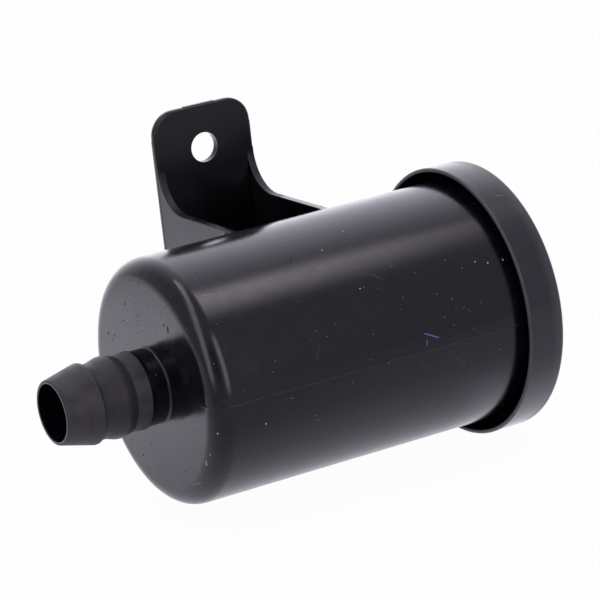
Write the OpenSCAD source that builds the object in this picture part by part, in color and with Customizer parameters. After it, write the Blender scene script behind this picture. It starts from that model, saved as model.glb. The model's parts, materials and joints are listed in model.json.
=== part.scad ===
// Charcoal canister for fuel tank vapour: a moulded cup with a hose barb and a bolt-on bracket,
// a vented cap over its open end, and a spring-packed carbon bed between two felt pads.
// Lengths run along the canister's own axis from its closed end. The finished part has its origin
// at the bolt hole on the bracket's rear face: +X towards the cap, +Y into the wall, +Z up.

/* [Body] */
// Outside diameter at the closed end
body_d = 53; // [46:0.5:70]
// Length from the closed end to the open rim
body_len = 80; // [66:0.5:140]
// How much wider the cup is at its rim than at its closed end, for mould draft
body_flare = 0.3; // [0:0.1:1.2]
// Wall thickness of the cup and its end
wall = 1.8; // [1.2:0.1:2.4]
// Outside radius round the closed end
end_fillet = 4.5; // [3:0.1:7]

/* [Hose barb] */
// Diameter of the passage through the barb
port_d = 12.3; // [8:0.1:12.8]
// Diameter between the crests, about the hose's own bore
neck_d = 16.2; // [15.2:0.1:17]
// Height of the two crests nearest the tip above the neck
crest_h = 0.6; // [0.4:0.05:1.2]
// Height of the crest nearest the body above the neck
last_crest_h = 0.25; // [0.2:0.05:1]
// Outside diameter at the tip
tip_d = 13.8; // [13.6:0.1:15]
// Length from the end face to the tip
barb_len = 23.4; // [21:0.1:32]
// Distance between the two crests nearest the tip
crest_pitch = 6.2; // [5.4:0.1:7]
// Distance between the two crests nearest the body
last_pitch = 5.5; // [4.8:0.1:7]
// Distance of the nearest crest from the end face
last_crest_x = 4.3; // [2.8:0.1:5]
// Length of the slope behind each crest
crest_back = 1.3; // [0.8:0.1:2.2]
// Length of plain neck between that slope and the next cone
neck_flat = 0.7; // [0.2:0.1:1.2]
// Radius over each crest
crest_round = 0.6; // [0.3:0.1:1.2]
// Radius round the tip's rim
tip_round = 0.3; // [0.1:0.05:0.35]
// Fillet where the barb meets the end face
barb_fillet = 0.5; // [0.2:0.1:1]

/* [Bracket] */
// Distance from the closed end to the bracket's near edge
bracket_x = 26.5; // [12:0.5:45]
// Width of the bracket along the canister
bracket_w = 24.5; // [18:0.5:34]
// Gap between the side of the cup and the plate
plate_gap = 10; // [9.4:0.1:30]
// Distance from the bolt hole up to the plate's top edge
plate_edge = 9.7; // [7:0.1:20]
// Thickness of the plate
plate_t = 1.8; // [1.4:0.1:3]
// Radius of the plate's top corners
plate_corner = 5.5; // [2:0.1:7]
// Diameter of the bolt hole
hole_d = 6.6; // [4.5:0.1:8]
// Height of the bolt hole above the top of the cup
hole_rise = 11; // [9:0.1:20]
// How far the webs' top edge lies below the top of the cup
web_drop = 0.8; // [0.2:0.1:8]
// Thickness of each web
web_t = 1.8; // [1.2:0.1:3]
// Radius with which each web runs up into the plate
web_fillet = 8.8; // [4:0.1:9.2]
// Fillet where each web meets the cup
web_root = 0.8; // [0.4:0.1:1.5]

/* [Vent cap] */
// Gap all round between the cup and the skirt's lip
skirt_gap = 2.16; // [1.6:0.01:5]
// How much narrower the cap is at its back than at its lip
cap_draft = 0.3; // [0:0.1:1]
// Depth of the cap from its lip to its back
cap_depth = 9; // [7.5:0.1:14]
// Thickness of the cap's disc
disc_t = 1.8; // [1.4:0.1:2.4]
// Thickness of the skirt at its lip
lip_t = 0.95; // [0.7:0.05:1.2]
// Thickness of the skirt where it meets the disc
skirt_t = 1.5; // [1.3:0.1:1.8]
// Radius round the cap's back edge
cap_edge = 1; // [0.4:0.1:1.4]
// Height of the vent passage between the cup's rim and the disc
vent_gap = 2.4; // [1.6:0.1:4]
// Number of ribs which hold the cap off the rim
rib_count = 6; // [4:1:10]
// Width of each rib
rib_w = 3; // [2:0.1:4]
// How far the cap's spigot reaches into the cup
spigot_reach = 5.4; // [3:0.1:8]
// Thickness of the spigot
spigot_t = 1.6; // [1.2:0.1:2.2]
// Clearance round the spigot
spigot_clear = 0.1; // [0.05:0.05:0.3]

/* [Filling] */
// Height of the ribs which hold the first pad off the end wall
plenum = 2; // [1:0.1:4]
// Number of those ribs
plenum_ribs = 8; // [4:1:12]
// Thickness of those ribs
plenum_rib_t = 1.2; // [0.8:0.1:2]
// Thickness of each felt pad
pad_t = 3; // [2:0.1:5]
// Thickness of the retainer plate
retainer_t = 2; // [1.4:0.1:3]
// Clearance of the pads and the carbon from the cup's wall
fill_clear = 0.2; // [0.1:0.05:0.3]
// Clearance of the retainer plate, which slides in the cup
retainer_clear = 0.3; // [0.2:0.05:0.6]
// Diameter of the retainer plate's holes
vent_hole_d = 4; // [2.5:0.1:4.4]
// Outside diameter of the spring
spring_d = 30; // [26:0.5:32]
// Thickness of the spring's wire
wire_d = 1.4; // [1:0.1:1.6]
// Length of the spring as fitted
spring_len = 13.6; // [12:0.1:20]
// Number of turns in the spring
spring_turns = 5; // [4:0.5:6]
// Height of the collars which centre the spring
collar_h = 1.6; // [0.8:0.1:2.4]
// Thickness of those collars
collar_t = 1.4; // [1:0.1:2]
// Clearance between the spring and its collars
collar_clear = 0.4; // [0.2:0.05:0.8]

/* [Hidden] */
$fn = 96;

// Overlap of solids that are joined, and overshoot of cuts
eps = 0.01;
cut = 1;

// Cup: radius of its outside and inside at a distance from the closed end
function outer_r(x) = (body_d + body_flare*x/body_len)/2;
function inner_r(x) = outer_r(x) - wall;
inner_fillet = end_fillet - wall;

// Clear radius inside the cup, which shrinks within the rounded corner of its closed end
corner_x = wall + inner_fillet;
function clear_r(x) = x < corner_x
    ? inner_r(0) - inner_fillet + sqrt(pow(inner_fillet, 2) - pow(corner_x - x, 2))
    : inner_r(x);

// Bracket: its faces, its heights and the bolt hole's place, from the canister's axis
hole_x = bracket_x + bracket_w/2;
hole_z = body_d/2 + hole_rise;
plate_top = hole_z + plate_edge;
plate_front = body_d/2 + plate_gap;
plate_back = plate_front + plate_t;
web_top = body_d/2 - web_drop;

// Cap: its planes along the axis and its diameter over the lip
disc_x = body_len + vent_gap;
cap_back = disc_x + disc_t;
cap_lip = cap_back - cap_depth;
cap_d = 2*(outer_r(cap_lip) + skirt_gap + lip_t);
spigot_r = inner_r(body_len - spigot_reach) - spigot_clear;

// Filling: where each layer starts along the axis
pad1_x = wall + plenum;
bed_x = pad1_x + pad_t;
spring_x = disc_x - spring_len;
retainer_x = spring_x - retainer_t;
pad2_x = retainer_x - pad_t;

// Spring: the collars stand inside the coil
collar_r = spring_d/2 - wire_d - collar_clear;

// Perforations: rings of holes inside and outside the spring's collar
hole_rings = [(collar_r - collar_t + vent_hole_d/2)/2, (spring_d/2 + inner_r(retainer_x))/2];
hole_land = 3;

// Barb: how far each crest lies from the end face, and its radius
crest_x = [last_crest_x + last_pitch + crest_pitch, last_crest_x + last_pitch, last_crest_x];
crest_r = [neck_d/2 + crest_h, neck_d/2 + crest_h, neck_d/2 + last_crest_h];
function crest_rise(i) = crest_x[i - 1] - crest_x[i] - crest_back - neck_flat;

black_plastic = "#2a2a2d";
felt_grey = "#b9b6ad";
carbon_black = "#161616";
spring_steel = "#9a9ca0";

// Moves a piece from the canister's axis frame to the bolt hole's frame
module from_bolt_hole() {
    translate([-hole_x, -plate_back, -hole_z]) children();
}

// Revolves an outline about the canister's axis: outline x is radius, outline y is distance along +X
module revolve() {
    rotate([0, 90, 0]) rotate_extrude() children();
}

// Extrudes an outline drawn in Y and Z along +X, from x
module along_axis(x, length) {
    translate([x, 0, 0]) rotate([90, 0, 90]) linear_extrude(length) children();
}

// Outline of a drafted cylinder with a rounded corner at its first end
module rounded_cup(r0, r1, x0, x1, fillet) {
    polygon([[0, x0], [r0 - fillet, x0], [r0, x0 + fillet], [r1, x1], [0, x1]]);
    translate([r0 - fillet, x0 + fillet]) circle(fillet);
}

// Quarter-round fillet outline in the corner at (r, x), towards +radius and along dir
module corner_fillet(r, x, fillet, dir) {
    translate([r, x]) mirror([0, dir < 0 ? 1 : 0]) difference() {
        translate([-eps, -eps]) square(fillet + eps);
        translate([fillet, fillet]) circle(fillet);
    }
}

// Rounding of one barb crest: the cone rises at angle a and falls behind the crest at angle b.
// tangent() is how far the round starts from the sharp corner.
function tangent(a, b) = crest_round*tan((a + b)/2);
function rise_angle(i) = i == 0
    ? atan((crest_r[0] - tip_d/2)/(barb_len - tip_round - crest_x[0]))
    : atan((crest_r[i] - neck_d/2)/crest_rise(i));
function fall_angle(i) = atan((crest_r[i] - neck_d/2)/crest_back);
function rise_end(i) = let (a = rise_angle(i), t = tangent(a, fall_angle(i)))
    [crest_r[i] - t*sin(a), crest_x[i] + t*cos(a)];
function fall_start(i) = let (b = fall_angle(i), t = tangent(rise_angle(i), b))
    [crest_r[i] - t*sin(b), crest_x[i] - t*cos(b)];
function round_centre(i) = let (a = rise_angle(i))
    rise_end(i) - crest_round*[cos(a), sin(a)];

// Barb outline: radius against distance out from the end face
module barb_outline() {
    cones = [for (i = [0:2]) each [
        rise_end(i),
        fall_start(i),
        [neck_d/2, crest_x[i] - crest_back],
        [neck_d/2, i < 2 ? crest_x[i + 1] + crest_rise(i + 1) : -wall/2],
    ]];
    rim = [[0, barb_len], [tip_d/2 - tip_round, barb_len], [tip_d/2, barb_len - tip_round]];
    polygon(concat(rim, cones, [[0, -wall/2]]));
    translate([tip_d/2 - tip_round, barb_len - tip_round]) circle(tip_round);
    for (i = [0:2]) {
        translate(round_centre(i)) circle(crest_round);
    }
    corner_fillet(neck_d/2, 0, barb_fillet, 1);
}

module barb() {
    rotate([0, -90, 0]) rotate_extrude() barb_outline();
}

// Upright plate with rounded top corners and the bolt hole, seen from the front
module plate() {
    top_corners = [for (side = [-1, 1]) [side*(bracket_w/2 - plate_corner), plate_top - plate_corner]];
    translate([hole_x, plate_back, 0]) rotate([90, 0, 0]) linear_extrude(plate_t) difference() {
        union() {
            polygon([[-bracket_w/2, 0], [bracket_w/2, 0],
                     [bracket_w/2, plate_top - plate_corner], [bracket_w/2 - plate_corner, plate_top],
                     [plate_corner - bracket_w/2, plate_top], [-bracket_w/2, plate_top - plate_corner]]);
            for (p = top_corners) {
                translate(p) circle(plate_corner);
            }
        }
        translate([0, hole_z]) circle(d = hole_d);
    }
}

// One web's outline in Y and Z: a flat top which sweeps up into the plate
module web_outline() {
    square([plate_back - plate_t/2, web_top]);
    translate([plate_front, web_top]) difference() {
        translate([-web_fillet, -eps]) square([web_fillet + plate_t/2, web_fillet]);
        translate([-web_fillet, web_fillet]) circle(web_fillet);
    }
}

// Fillet between one web's outer face and the cup, down the part of the cup that the web covers
module web_root_fillet(x, dir) {
    r = outer_r(x);
    covered = asin(web_top/(r + web_root));
    rotate([0, 90, 0]) rotate([0, 0, 90]) rotate_extrude(angle = covered)
        corner_fillet(r, x, web_root, dir);
}

module bracket() {
    near = bracket_x;
    far = bracket_x + bracket_w;
    plate();
    along_axis(near, web_t) web_outline();
    along_axis(far - web_t, web_t) web_outline();
    web_root_fillet(near, -1);
    web_root_fillet(far, 1);
}

// Ribs inside the closed end which hold the first pad off the port
module plenum_rib() {
    rib_from = port_d/2 + wall;
    rib_to = inner_r(0) - inner_fillet;
    translate([wall - eps, -plenum_rib_t/2, rib_from])
        cube([plenum + eps, plenum_rib_t, rib_to - rib_from]);
}

module canister_body() {
    color(black_plastic) from_bolt_hole() {
        difference() {
            union() {
                revolve() rounded_cup(outer_r(0), outer_r(body_len), 0, body_len, end_fillet);
                barb();
                bracket();
            }
            revolve() rounded_cup(inner_r(0), inner_r(body_len + cut), wall, body_len + cut, inner_fillet);
            translate([-barb_len - cut, 0, 0]) rotate([0, 90, 0])
                cylinder(d = port_d, h = barb_len + wall + 2*cut);
        }
        for (i = [0:plenum_ribs - 1]) {
            rotate([i*360/plenum_ribs, 0, 0]) plenum_rib();
        }
    }
}

// Cap outline: disc, drafted skirt with a round lip, rounded back edge
module cap_outline() {
    lip_r = cap_d/2;
    back_r = (cap_d - cap_draft)/2;
    lip_c = cap_lip + lip_t/2;
    polygon([[0, disc_x], [0, cap_back], [back_r - cap_edge, cap_back], [back_r, cap_back - cap_edge],
             [lip_r, lip_c], [lip_r - lip_t, lip_c], [back_r - skirt_t, disc_x]]);
    translate([back_r - cap_edge, cap_back - cap_edge]) circle(cap_edge);
    translate([lip_r - lip_t/2, lip_c]) circle(d = lip_t);
}

// Ring standing on the disc's inner side, from radius r0 to r1 and reaching back to x
module inner_ring(r0, r1, x) {
    revolve() translate([r0, x]) square([r1 - r0, disc_x - x + eps]);
}

// Rib between the disc and the cup's rim, from the spigot out to the rim's edge
module cap_rib() {
    rib_from = spigot_r - spigot_t;
    rib_to = outer_r(body_len);
    translate([body_len, -rib_w/2, rib_from])
        cube([vent_gap + eps, rib_w, rib_to - rib_from]);
}

module vent_cap() {
    color(black_plastic) from_bolt_hole() {
        revolve() cap_outline();
        inner_ring(collar_r - collar_t, collar_r, disc_x - collar_h);
        revolve() translate([spigot_r - spigot_t, body_len - spigot_reach])
            square([spigot_t, spigot_reach + eps]);
        for (i = [0:rib_count - 1]) {
            rotate([(i + 0.5)*360/rib_count, 0, 0]) cap_rib();
        }
    }
}

// Round layer that fills the cup between two planes along the axis
module layer(x0, x1, clear) {
    revolve() polygon([[0, x0], [clear_r(x0) - clear, x0], [clear_r(x1) - clear, x1], [0, x1]]);
}

module port_filter_pad() {
    color(felt_grey) from_bolt_hole() layer(pad1_x, bed_x, fill_clear);
}

module carbon_bed() {
    color(carbon_black) from_bolt_hole() layer(bed_x, pad2_x, fill_clear);
}

module vent_filter_pad() {
    color(felt_grey) from_bolt_hole() layer(pad2_x, retainer_x, fill_clear);
}

// One ring of vent holes through the retainer plate
module hole_ring(r) {
    count = floor(2*PI*r/(vent_hole_d + hole_land));
    for (i = [0:count - 1]) {
        rotate([i*360/count, 0, 0]) translate([retainer_x - cut, 0, r])
            rotate([0, 90, 0]) cylinder(d = vent_hole_d, h = retainer_t + 2*cut);
    }
}

module retainer_plate() {
    color(black_plastic) from_bolt_hole() difference() {
        union() {
            layer(retainer_x, spring_x, retainer_clear);
            revolve() translate([collar_r - collar_t, spring_x - eps]) square([collar_t, collar_h + eps]);
        }
        for (r = hole_rings) {
            hole_ring(r);
        }
    }
}

// Spring: height of the wire's middle after t turns. The end turns lie close, wire on wire.
wire_sides = 8;
steps_per_turn = 16;
coil_gap = 0.1;
close_pitch = wire_d + coil_gap;
open_pitch = (spring_len - wire_d - 2*close_pitch)/(spring_turns - 2);
function coil_height(t) = wire_d/2 + close_pitch*min(t, 1)
    + open_pitch*max(0, min(t, spring_turns - 1) - 1)
    + close_pitch*max(0, t - spring_turns + 1);

module pressure_spring() {
    coil_r = (spring_d - wire_d)/2;
    wire_r = wire_d/2;
    last = ceil(spring_turns*steps_per_turn);
    points = [for (i = [0:last]) let (t = spring_turns*i/last, h = coil_height(t))
        for (j = [0:wire_sides - 1]) let (a = (j + 0.5)*360/wire_sides, r = coil_r + wire_r*cos(a))
            [r*cos(360*t), r*sin(360*t), h + wire_r*sin(a)]];
    tube = [for (i = [0:last - 1]) for (j = [0:wire_sides - 1]) let (k = (j + 1) % wire_sides)
        [i*wire_sides + j, i*wire_sides + k, (i + 1)*wire_sides + k, (i + 1)*wire_sides + j]];
    start_end = [for (j = [wire_sides - 1:-1:0]) j];
    stop_end = [for (j = [0:wire_sides - 1]) last*wire_sides + j];
    color(spring_steel) from_bolt_hole() translate([spring_x, 0, 0]) rotate([0, 90, 0])
        polyhedron(points, concat(tube, [start_end, stop_end]));
}

canister_body();
vent_cap();
port_filter_pad();
carbon_bed();
vent_filter_pad();
retainer_plate();
pressure_spring();
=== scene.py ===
# %% [markdown]
# # Dressing a moulded charcoal canister
#
# The object is a small canister that catches fuel vapour: a black moulded cup with a hose barb at one
# end, a bracket that bolts to a wall, and a vented cap over the other end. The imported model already
# holds every piece at its real size, so this lesson adds what a maker calls the finish: the gloss, the
# dust and the light. All lengths in the scene are metres, in the model's own frame.

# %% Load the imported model
import json
import math

import bmesh
import bpy
from mathutils import Matrix, Quaternion, Vector

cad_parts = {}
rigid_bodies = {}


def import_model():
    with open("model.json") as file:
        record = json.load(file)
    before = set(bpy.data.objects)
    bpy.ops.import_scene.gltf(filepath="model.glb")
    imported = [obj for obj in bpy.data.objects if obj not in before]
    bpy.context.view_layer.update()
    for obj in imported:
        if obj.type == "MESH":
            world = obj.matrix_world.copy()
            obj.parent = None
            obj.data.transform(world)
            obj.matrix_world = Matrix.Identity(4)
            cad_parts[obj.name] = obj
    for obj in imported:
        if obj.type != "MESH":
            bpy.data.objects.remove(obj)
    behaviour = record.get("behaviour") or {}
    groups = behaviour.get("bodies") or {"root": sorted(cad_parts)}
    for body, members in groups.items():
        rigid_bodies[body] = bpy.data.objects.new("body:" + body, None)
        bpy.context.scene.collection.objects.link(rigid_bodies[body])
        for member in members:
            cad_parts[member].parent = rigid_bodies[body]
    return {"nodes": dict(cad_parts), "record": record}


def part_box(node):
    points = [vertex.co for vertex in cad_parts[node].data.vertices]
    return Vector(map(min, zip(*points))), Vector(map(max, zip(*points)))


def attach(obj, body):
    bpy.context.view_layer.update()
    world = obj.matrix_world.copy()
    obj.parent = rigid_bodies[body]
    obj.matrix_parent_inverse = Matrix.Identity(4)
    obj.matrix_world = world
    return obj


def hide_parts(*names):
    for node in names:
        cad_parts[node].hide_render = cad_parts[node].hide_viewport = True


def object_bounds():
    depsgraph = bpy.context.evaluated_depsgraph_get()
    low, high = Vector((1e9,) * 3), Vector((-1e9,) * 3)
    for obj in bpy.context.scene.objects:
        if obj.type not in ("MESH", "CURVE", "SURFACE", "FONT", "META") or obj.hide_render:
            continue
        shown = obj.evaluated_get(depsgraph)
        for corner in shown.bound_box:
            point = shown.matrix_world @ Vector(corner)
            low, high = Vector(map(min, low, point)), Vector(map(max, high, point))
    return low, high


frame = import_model()
cad_low, cad_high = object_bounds()
nodes = frame["nodes"]
scene = bpy.context.scene
scene.view_settings.view_transform = "Standard"
print("nodes:", ", ".join(sorted(nodes)))

# %% [markdown]
# ## The frame's landmarks
#
# A few places are needed again and again: the line through the barb and the cup, the cup's end face and
# the floor. They could be typed in, but then they would drift when the model changes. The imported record
# knows where the hose goes on, and the model's box tells the floor.

# %% Find the axis, the end face and the floor
MM = 0.001
mounts = {mount["name"]: mount for mount in frame["record"]["mounts"]}
barb_tip = Vector(mounts["hose_barb"]["pos_m"])
axis_y, axis_z = barb_tip.y, barb_tip.z
barb_length = 23.4 * MM
end_face_x = barb_tip.x + barb_length
floor_z = cad_low.z
print(f"axis at y {axis_y:.4f}, z {axis_z:.4f}; end face at x {end_face_x:.4f}; floor at z {floor_z:.4f}")

# %% [markdown]
# ## Camera
#
# The photograph was taken with a long lens from a little above, with the barb towards the viewer's left.
# A long lens keeps the cup's sides almost parallel. The camera points along its own -Z, so a tracking
# quaternion turns that towards the object, and a small roll about the line of sight tilts the picture.

# %% Place the camera
view_azimuth = math.radians(-29.77)
view_elevation = math.radians(15.59)
view_roll = math.radians(-6.453)
focal_length_mm = 198
sensor_width_mm = 36
eye = Vector((-0.335866, -0.623217, 0.160016))
back = Vector((
    math.sin(view_azimuth) * math.cos(view_elevation),
    -math.cos(view_azimuth) * math.cos(view_elevation),
    math.sin(view_elevation),
))
lens = bpy.data.cameras.new("studio_camera")
lens.lens = focal_length_mm
lens.sensor_width = sensor_width_mm
lens.clip_start = 0.05
camera = bpy.data.objects.new("studio_camera", lens)
scene.collection.objects.link(camera)
camera.location = eye
camera.rotation_mode = "QUATERNION"
camera.rotation_quaternion = (-back).to_track_quat("-Z", "Y") @ Quaternion((0, 0, 1), view_roll)
scene.camera = camera
print("camera at", [round(value, 3) for value in eye])

# %% [markdown]
# ## Small helpers for shader nodes
#
# Every finish below is a node tree. Writing `nodes.new` and `links.new` for each node hides the idea, so a
# few helpers do the plumbing. `add` makes a node and fills its sockets, with a value or with a link. `calc`
# is one step of arithmetic, and `ramp` eases between two numbers. `blend` and `tint` go from one number or
# colour to another.

# %% Node helpers
def add(tree, kind, inputs=None, **settings):
    """Adds a node. Inputs that are sockets get linked; other inputs are set as values."""
    made = tree.nodes.new("ShaderNode" + kind)
    for name, value in settings.items():
        setattr(made, name, value)
    for name, value in (inputs or {}).items():
        if isinstance(value, bpy.types.NodeSocket):
            tree.links.new(value, made.inputs[name])
        else:
            made.inputs[name].default_value = value
    return made


def calc(tree, operation, first, second=0.0, clamp=False):
    """One arithmetic step on two numbers or sockets."""
    return add(tree, "Math", {0: first, 1: second}, operation=operation, use_clamp=clamp).outputs[0]


def ramp(tree, value, low, high, to_low=0.0, to_high=1.0):
    """Eases from to_low to to_high as the value goes from low to high."""
    inputs = {"Value": value, "From Min": low, "From Max": high, "To Min": to_low, "To Max": to_high}
    return add(tree, "MapRange", inputs, interpolation_type="SMOOTHSTEP").outputs["Result"]


def blend(tree, share, first, second):
    """Goes from one number to another as the share goes from 0 to 1."""
    inputs = {"Factor": share, "A": first, "B": second}
    return add(tree, "Mix", inputs, data_type="FLOAT").outputs["Result"]


def tint(tree, share, first, second):
    """Goes from one colour to another as the share goes from 0 to 1."""
    inputs = {"Factor": share}
    for key, colour in (("A", first), ("B", second)):
        inputs[key] = colour + (1,) if isinstance(colour, tuple) else colour
    return add(tree, "Mix", inputs, data_type="RGBA").outputs["Result"]


print("node helpers: add, calc, ramp, blend, tint")

# %% [markdown]
# ## Studio light
#
# Black plastic shows almost nothing of its own: what the eye reads as its shape is the room mirrored in
# it. The room here is bright behind the object and to its right, and dim in front and on the left, as in a
# light tent that is lit from one side. The tent's opening, where the camera looks in, is darker still. A
# world with soft gradients does that with no modelling. Each fade is the stretch of a direction's X or Y,
# or of its likeness to the opening's direction, over which the light changes. Rays that come straight from
# the camera see white.

# %% World
white = (1, 1, 1)
room_dim = 0.435
room_bright = 1.68
room_tint = (0.99, 0.96, 1.055)
behind_fade = (-0.2, 0.77)
far_fade = (0.76, 0.97)
far_more = 0.5
right_fade = (-0.65, 0.55)
opening_towards = Vector((-0.46, -0.83, 0.32))
opening_fade = (0.93, 0.985)
opening_share = 0.4


def room_level(tree, direction):
    """How bright the room is in a direction."""
    parts = add(tree, "SeparateXYZ", {0: direction}).outputs
    behind = ramp(tree, parts["Y"], *behind_fade, 0.0, room_bright - room_dim)
    behind = calc(tree, "ADD", behind, ramp(tree, parts["Y"], *far_fade, 0.0, far_more))
    glow = calc(tree, "MULTIPLY", behind, ramp(tree, parts["X"], *right_fade))
    inputs = {0: direction, 1: opening_towards.normalized()}
    facing = add(tree, "VectorMath", inputs, operation="DOT_PRODUCT").outputs["Value"]
    opening = ramp(tree, facing, *opening_fade, 1.0, opening_share)
    return calc(tree, "MULTIPLY", calc(tree, "ADD", glow, room_dim), opening)


def seen_directly(tree):
    """1 for rays that come straight from the camera, 0 for mirrored and scattered ones."""
    path = add(tree, "LightPath").outputs
    return calc(tree, "MAXIMUM", path["Is Camera Ray"], path["Is Transmission Ray"])


def make_room():
    """A world that is dim in front and on the left, and bright behind on the right."""
    world = bpy.data.worlds.new("studio_room")
    world.use_nodes = True
    tree = world.node_tree
    tree.nodes.clear()
    level = room_level(tree, add(tree, "TexCoord").outputs["Generated"])
    seen = seen_directly(tree)
    inputs = {"Color": tint(tree, seen, room_tint, white), "Strength": blend(tree, seen, level, 1.0)}
    shade = add(tree, "Background", inputs)
    add(tree, "OutputWorld", {"Surface": shade.outputs[0]})
    return world


scene.world = make_room()
print("room light from", room_dim, "to", room_bright)

# %% [markdown]
# Three strip lamps stand round the tent and show as soft streaks on the rounded end of the cup: one on the
# left, one that carries on from it overhead, and one on the right. Area lights are used because a streak's
# width in the mirror is the lamp's own width. A lamp's power is its brightness times pi times its area.

# %% Strip lamps
lamp_tint = (1.03, 1.0, 0.975)
lamp_distance = 0.7
cup_end = Vector((end_face_x, axis_y, axis_z))
upright = Vector((0, 0, 1))


def hang_strip(name, width, length, brightness, towards, along):
    """A strip lamp seen in that direction from the cup's closed end, with its length along another."""
    axis_out = towards.normalized()
    place = cup_end + axis_out * lamp_distance
    light = bpy.data.lights.new(name, "AREA")
    light.shape = "RECTANGLE"
    light.size = width
    light.size_y = length
    light.energy = brightness * math.pi * width * length
    light.color = lamp_tint
    lamp = bpy.data.objects.new(name, light)
    scene.collection.objects.link(lamp)
    axis_across = along.cross(axis_out).normalized()
    axis_along = axis_out.cross(axis_across)
    lamp.matrix_world = Matrix.LocRotScale(
        place, Matrix((axis_across, axis_along, axis_out)).transposed(), None)
    lamp.visible_camera = False
    print(name, [round(value, 3) for value in place], f"{light.energy:.2f} W")


def heading(azimuth, elevation):
    """A direction. Azimuth 0 is straight in front of the cup, positive to the right."""
    turn, lift = math.radians(azimuth), math.radians(elevation)
    return Vector((math.cos(lift) * math.sin(turn), -math.cos(lift) * math.cos(turn), math.sin(lift)))


hang_strip("strip_left", 0.24, 0.9, 1.65, heading(-64.8, 32), upright)
hang_strip("strip_over", 0.16, 0.42, 2.5, Vector((-0.2, 0.03, 0.98)), Vector((0.46, 0.58, -0.02)))
hang_strip("strip_right", 0.24, 0.6, 1.9, heading(9.2, 21), upright)

# %% [markdown]
# The soft band along the top of the cylinder comes from a lamp behind a diffuser: bright in the middle and
# fading to all sides. An area light is even from edge to edge, so this one is a glowing sheet instead, with
# the fading drawn by four eased ramps. Where it doesn't glow it is clear, so that the room shows through it.
# The camera doesn't see the sheet; only the plastic does.

# %% Diffuser over the cup
panel_height = 0.52
panel_glow = 3.2
panel_low = (0.07, -0.38)
panel_high = (0.41, 0.04)
panel_fades = [("X", 0.08, 0.2), ("X", 0.4, 0.22), ("Y", -0.37, -0.1), ("Y", 0.01, -0.1)]


def level_sheet(name, low, high, z, corner_order):
    """A level rectangle between two corners. The order of its corners says which side is up."""
    (left, front), (right, rear) = low, high
    mesh = bpy.data.meshes.new(name)
    corners = [(left, front, z), (right, front, z), (right, rear, z), (left, rear, z)]
    mesh.from_pydata(corners, [], [corner_order])
    sheet = bpy.data.objects.new(name, mesh)
    scene.collection.objects.link(sheet)
    return sheet


def empty_material(name):
    """A new material and its node tree, with nothing in it."""
    made = bpy.data.materials.new(name)
    made.use_nodes = True
    made.node_tree.nodes.clear()
    return made, made.node_tree


def make_panel():
    """A sheet that hangs over the cup and glows downwards, fading out before its edges."""
    sheet = level_sheet("diffuser", panel_low, panel_high, axis_z + panel_height, (3, 2, 1, 0))
    cloth, tree = empty_material("diffuser_cloth")
    parts = add(tree, "SeparateXYZ", {0: add(tree, "TexCoord").outputs["Object"]}).outputs
    level = panel_glow
    for axis, dark, bright in panel_fades:
        level = calc(tree, "MULTIPLY", ramp(tree, parts[axis], dark, bright), level)
    glow = add(tree, "Emission", {"Color": lamp_tint + (1,), "Strength": level})
    clear = add(tree, "BsdfTransparent")
    both = add(tree, "AddShader", {0: glow.outputs[0], 1: clear.outputs[0]})
    add(tree, "OutputMaterial", {"Surface": both.outputs[0]})
    sheet.data.materials.append(cloth)
    sheet.visible_camera = False
    return sheet


make_panel()
print("diffuser", panel_height, "m over the axis")

# %% [markdown]
# ## Floor
#
# The floor is a plain pale sheet. It is a real diffuse surface, so it keeps the shadow. For camera rays it
# is mixed with white, so that it reads as an even studio sweep. In the plastic's mirror the sheet is only a
# glow with painted brightness: bright under the object and behind it, and dimming towards the open front of
# the tent and to the left, with a painted bright patch. That paints the long soft shade across the lower
# half of the cup. Each rise and each fade is a stretch of the floor, in metres, over which that brightness
# changes.

# %% Floor
floor_half = 4.0
floor_white_share = 0.97
paper_grain = 40.0
paper_tones = (0.79, 0.81)
mirror_front = 0.62
# From and to along Y, and how much brighter the sheet gets there.
mirror_rises = [(-0.095, -0.043, 0.32), (-0.035, 0.03, 0.3), (0.03, 0.085, 0.22)]
# Along which axis, from, to, and the shares at both ends: tent's front, left slant, far left, far behind.
slant_y_share = 1.2
mirror_fades = [
    ("Y", -0.9, -0.15, 0.76, 1.0), ("slant", -0.15, -0.07, 0.78, 1.0),
    ("X", -0.127, -0.108, 0.78, 1.0), ("Y", 0.125, 0.15, 1.0, 0.85),
]
bright_patch_x = (0.028, 0.042)
bright_patch_y = (-0.085, -0.06)
bright_patch_more = 0.38


def floor_in_mirror(tree):
    """How bright the sheet is where the plastic mirrors it."""
    parts = add(tree, "SeparateXYZ", {0: add(tree, "TexCoord").outputs["Object"]}).outputs
    slant = calc(tree, "ADD", parts["X"], calc(tree, "MULTIPLY", parts["Y"], slant_y_share))
    along = {"X": parts["X"], "Y": parts["Y"], "slant": slant}
    level = mirror_front
    for low, high, more in mirror_rises:
        level = calc(tree, "ADD", ramp(tree, parts["Y"], low, high, 0.0, more), level)
    for axis, low, high, share_low, share_high in mirror_fades:
        level = calc(tree, "MULTIPLY", level, ramp(tree, along[axis], low, high, share_low, share_high))
    patch = ramp(tree, parts["X"], *bright_patch_x, 0.0, bright_patch_more)
    patch = calc(tree, "MULTIPLY", patch, ramp(tree, parts["Y"], *bright_patch_y))
    return calc(tree, "MULTIPLY", level, calc(tree, "ADD", patch, 1.0))


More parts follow.
